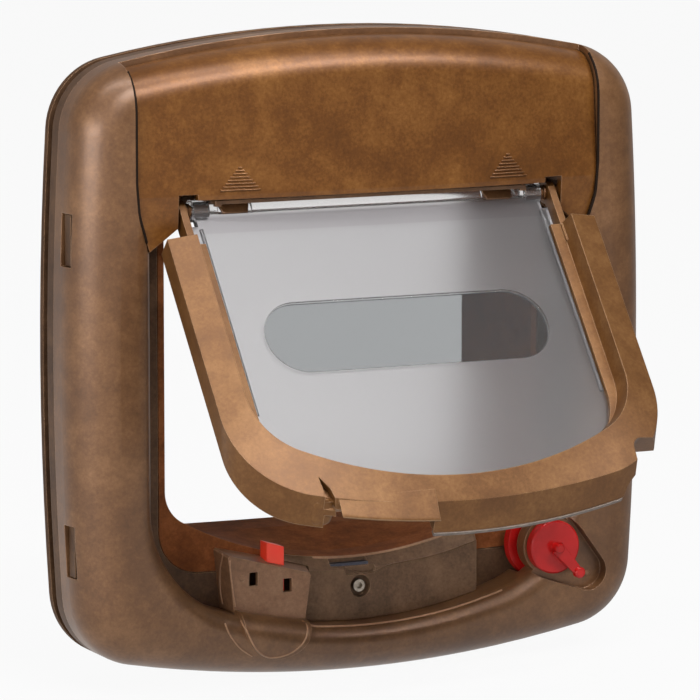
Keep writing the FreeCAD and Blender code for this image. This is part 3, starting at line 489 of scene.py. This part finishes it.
EDGE_LINE = [(-0.0205, -0.0818), (-0.012, -0.0822), (-0.004, -0.0824), (0.0, -0.0838),
             (0.0035, -0.0850), (0.0075, -0.0848), (0.0115, -0.0830), (0.017, -0.0820),
             (0.0276, -0.0811), (0.0405, -0.0789), (0.0518, -0.0757)]
EDGE_BEAD = 0.0004
edge_bead_places = [(x, front_of("sill", x, z) + PROUD, z) for x, z in EDGE_LINE]
edge_bead = bead_along("sill_edge", edge_bead_places, EDGE_BEAD)
wear_new(edge_bead, bronze_sill, "frame")

# Latch housing: a shield-shaped box on the sill with two slots and a small moulded ring.
# The latch in it is a red acetal pawl, which a magnet on the pet's collar pulls down.
housing_tones = [tone(103, 72, 50), tone(126, 90, 64), tone(140, 102, 74), tone(158, 119, 90)]
bronze_housing = pearl_bronze("bronze_housing", housing_tones, 0.34, EDGE_HIGHLIGHT, 0.2)
wear("latch_housing", bronze_housing)

RING_X, RING_Z, RING_R, RING_WIRE = -0.0496, -0.0817, 0.0012, 0.00028
bpy.ops.mesh.primitive_torus_add(major_segments=32, minor_segments=10,
                                 major_radius=RING_R, minor_radius=RING_WIRE,
                                 location=(RING_X, front_of("latch_housing", RING_X, RING_Z), RING_Z),
                                 rotation=(math.radians(90), 0, 0))
bpy.context.object.scale = (1, 1, 0.8)
ring = settle("housing_ring")
wear_new(ring, bronze_housing, "frame")

# Trim on the housing, the sill and the cover: fine raised lines, painted in a paler bronze as a highlight
# along them.
# They follow the fronts of the solids, and two of them mark the lips of the cover and the sill.
HOUSING_LINES = [[(-0.0562, -0.0725), (-0.0561, -0.0791), (-0.0555, -0.087), (-0.0548, -0.0925)],
                 [(-0.0549, -0.0745), (-0.0545, -0.0801), (-0.0535, -0.0879), (-0.0527, -0.0925)]]
COVER_LINES = [[(-0.0612, -0.0965), (-0.0595, -0.101), (-0.0550, -0.1065), (-0.0494, -0.1104)],
               [(-0.0538, -0.0965), (-0.0522, -0.102), (-0.0488, -0.1075), (-0.0428, -0.1112),
                (-0.036, -0.1106), (-0.03, -0.107), (-0.0264, -0.1018), (-0.0258, -0.098)]]
LINE_STEPS, LINE_BEAD = 24, 0.00035
# Pale tones for a painted highlight along the raised lines.
highlight_trim_tones = [tone(148, 110, 82), tone(164, 124, 94), tone(176, 136, 105), tone(190, 150, 118)]
bronze_highlight_trim = pearl_bronze("bronze_highlight_trim", highlight_trim_tones, 0.3, EDGE_HIGHLIGHT)


def foot_or_top(node, x, inside, outside):
    """The height at which a CAD node ends, between a height where it is met and one where it isn't."""
    for step in range(20):
        middle = (inside + outside) / 2
        met = look(node, x, middle)[0]
        inside, outside = (middle, outside) if met else (inside, middle)
    return inside


def curve_through(corners, steps):
    """Evenly spread places on a smooth curve through the corners."""
    ends = [corners[0]] + corners + [corners[-1]]
    places = []
    for step in range(steps + 1):
        spot = step * (len(corners) - 1) / steps
        leg = min(int(spot), len(corners) - 2)
        t = spot - leg
        a, b, c, d = (Vector(corner) for corner in ends[leg:leg + 4])
        bend = a - b * 2.5 + c * 2 - d / 2
        twist = b * 1.5 - a / 2 - c * 1.5 + d / 2
        places.append(b + (c - a) * t / 2 + bend * t ** 2 + twist * t ** 3)
    return places


EDGES = [("cover_lip", "front_cover", -0.027, 0.058, -0.112, -0.08),
         ("sill_rim", "sill", -0.0215, 0.058, -0.092, -0.05)]
EDGE_STEPS, EDGE_IN, EDGE_TRIM = 20, 0.0004, 0.0005
for name, node, left, far, low, high in EDGES:
    edge_places = []
    for step in range(EDGE_STEPS + 1):
        x = left + (far - left) * step / EDGE_STEPS
        z = foot_or_top(node, x, low, high) - EDGE_IN
        edge_places.append((x, front_of(node, x, z) + PROUD, z))
    edge_trim = bead_along(name, edge_places, EDGE_TRIM)
    wear_new(edge_trim, bronze_highlight_trim, "frame")

for node, lines in (("latch_housing", HOUSING_LINES), ("front_cover", COVER_LINES)):
    for count, line in enumerate(lines):
        line_places = [(x, front_of(node, x, z), z) for x, z in curve_through(line, LINE_STEPS)]
        trim = bead_along(node + "_line_" + str(count + 1), line_places, LINE_BEAD)
        wear_new(trim, bronze_highlight_trim, "frame")

# The latch has its own bright orange-red, painted lighter still as painted light against the shade of the open
# flap over it.
acetal = Finish("red_acetal")
cast = acetal.noise(140.0, 3.0)
acetal.feed(Base_Color=acetal.shades(cast, [(0.3, tone(255, 56, 34)), (0.7, tone(255, 76, 50))]))
acetal.feed(Roughness=cast * 0.15 + 0.25)
acetal.soften(0.0004, cast, 0.00003, 0.3)
wear("latch", acetal.owner)

# Lock knob: a red disc with a lever, turned in an eye-shaped recess of the cover.
# It turns a cam that locks the flap one way or both, and a moulded dot marks a setting.
red = Finish("red_plastic")
dye = red.noise(120.0, 3.0)
red.feed(Base_Color=red.shades(dye, [(0.3, tone(178, 20, 18)), (0.7, tone(202, 30, 28))]))
red.feed(Roughness=red.noise(700.0, 2.0) * 0.12 + 0.16)
red.shader.inputs["Specular IOR Level"].default_value = 0.35
red.soften(0.0004, red.noise(1400.0, 2.0), 0.00002, 0.3)
for node in ("lock_knob", "lock_cam"):
    wear(node, red.owner)

DOT_X, DOT_Z, DOT_R, DOT_PROUD = 0.0955, -0.0902, 0.0013, 0.0004
bpy.ops.mesh.primitive_uv_sphere_add(segments=24, ring_count=12, radius=DOT_R,
                                     location=(DOT_X, front_of("front_cover", DOT_X, DOT_Z), DOT_Z))
dot = bpy.context.object
dot.scale = (1, DOT_PROUD / DOT_R, 1)
dot = settle("setting_dot")
wear_new(dot, bronze_housing, "frame")

# Floor: a plain pale studio sweep that looks white to the camera, to gloss and through the panel.
# It is a white surface under the lamps as well, so it keeps a trace of the object's shadow.
FLOOR_SIZE, FLOOR_GAP = 8, 0.0002
bpy.ops.mesh.primitive_plane_add(size=FLOOR_SIZE, location=(0, 0, cad_box[0][2] - FLOOR_GAP))
floor = bpy.context.object
floor.name = "studio_floor"
bpy.ops.object.transform_apply(location=True, rotation=True, scale=True)
floor.select_set(False)


def shown(finish, sort, behind, card):
    """1 for what is seen straight or through the panel; gloss sees white on the left and some behind."""
    rays = finish.tree.nodes.new("ShaderNodeLightPath")
    kinds = ("Camera", "Glossy", "Transmission")
    straight, gloss, through = (Socket(finish, rays.outputs["Is " + kind + " Ray"]) for kind in kinds)
    split = finish.tree.nodes.new("ShaderNodeSeparateXYZ")
    finish.join(split.inputs[0], finish.node("ShaderNodeTexCoord", {}, {}, sort))
    leftwards, backwards = 0.0 - Socket(finish, split.outputs["X"]), Socket(finish, split.outputs["Y"])
    mirrored = (leftwards - backwards * 0.6).ramp(*card).over(backwards.ramp(*behind) * 0.35)
    return straight.over(gloss * mirrored).over(through)


paper = Finish("studio_paper")
paper_shades = [(0.3, (0.4, 0.4, 0.4, 1)), (0.7, (0.42, 0.42, 0.42, 1))]
paper.feed(Base_Color=paper.shades(paper.noise(6.0, 2.0), paper_shades))
paper.shader.inputs["Roughness"].default_value = 1.0
paper.shader.inputs["Specular IOR Level"].default_value = 0.0
glow = paper.node("ShaderNodeEmission", {}, {"Color": (1, 1, 1, 1), "Strength": 1.0})
lit = Socket(paper, paper.shader.outputs[0])
white_share = shown(paper, "Object", (0.1, 0.6), (-0.3, 0.05)) * 0.94
sheet = paper.node("ShaderNodeMixShader", {}, {"Fac": white_share, 1: lit, 2: glow})
paper.join(paper.tree.nodes["Material Output"].inputs["Surface"], sheet)
floor.data.materials.append(paper.owner)

# Camera, lamps and world of the studio: the camera stands left of the object and a little above.
# One lamp hangs above, a long one lights the front, a low one the left side, and one is a weak fill.
# The world is dim, and gloss sees it white on the left and partly white behind the object.
AROUND, ABOVE = math.radians(25.0), math.radians(8.2)
AWAY, ASIDE, HIGHER, LENS = 2.015, 0.00463, 0.00039, 268.4
back = Vector((-math.sin(AROUND) * math.cos(ABOVE), -math.cos(AROUND) * math.cos(ABOVE), math.sin(ABOVE)))
right = Vector((math.cos(AROUND), -math.sin(AROUND), 0))
up = back.cross(right)
photo_camera = bpy.data.cameras.new("photo_camera")
photo_camera.lens = LENS
photo_camera.clip_end = 50
camera = bpy.data.objects.new("photo_camera", photo_camera)
camera.location = back * AWAY + right * ASIDE + up * HIGHER
camera.rotation_euler = back.to_track_quat("Z", "Y").to_euler()
bpy.context.scene.collection.objects.link(camera)
bpy.context.scene.camera = camera


def lamp(name, place, size, power, aim=(0, 0, 0)):
    light = bpy.data.lights.new(name, "AREA")
    light.shape = "RECTANGLE"
    light.size, light.size_y = size
    light.energy = power
    thing = bpy.data.objects.new(name, light)
    thing.location = place
    thing.rotation_euler = (Vector(place) - Vector(aim)).to_track_quat("Z", "Y").to_euler()
    bpy.context.scene.collection.objects.link(thing)


lamp("top_lamp", (-0.2, -0.45, 1.6), (1.8, 0.12), 15)
lamp("band_lamp", (0.25, -1.15, 1.25), (1.6, 0.1), 26)
lamp("side_lamp", (-0.8, -0.38, 0.15), (0.54, 0.06), 3.0)
lamp("fill_lamp", (-0.7, -1.8, 0.7), (1.0, 1.0), 1)

studio = bpy.data.worlds.new("studio")
bpy.context.scene.world = studio
sky = Finish("studio", studio)
sky.tree.nodes.clear()
plain = sky.node("ShaderNodeBackground", {}, {"Color": (0.95, 0.97, 1, 1), "Strength": 0.13})
white = sky.node("ShaderNodeBackground", {}, {"Color": (1, 1, 1, 1), "Strength": 1.0})
seen = shown(sky, "Generated", (0.0, 0.5), (0.3, 1.1))
room = sky.node("ShaderNodeMixShader", {}, {"Fac": seen, 1: plain, 2: white})
sky.node("ShaderNodeOutputWorld", {}, {"Surface": room})

bpy.context.scene.view_settings.view_transform = "Standard"
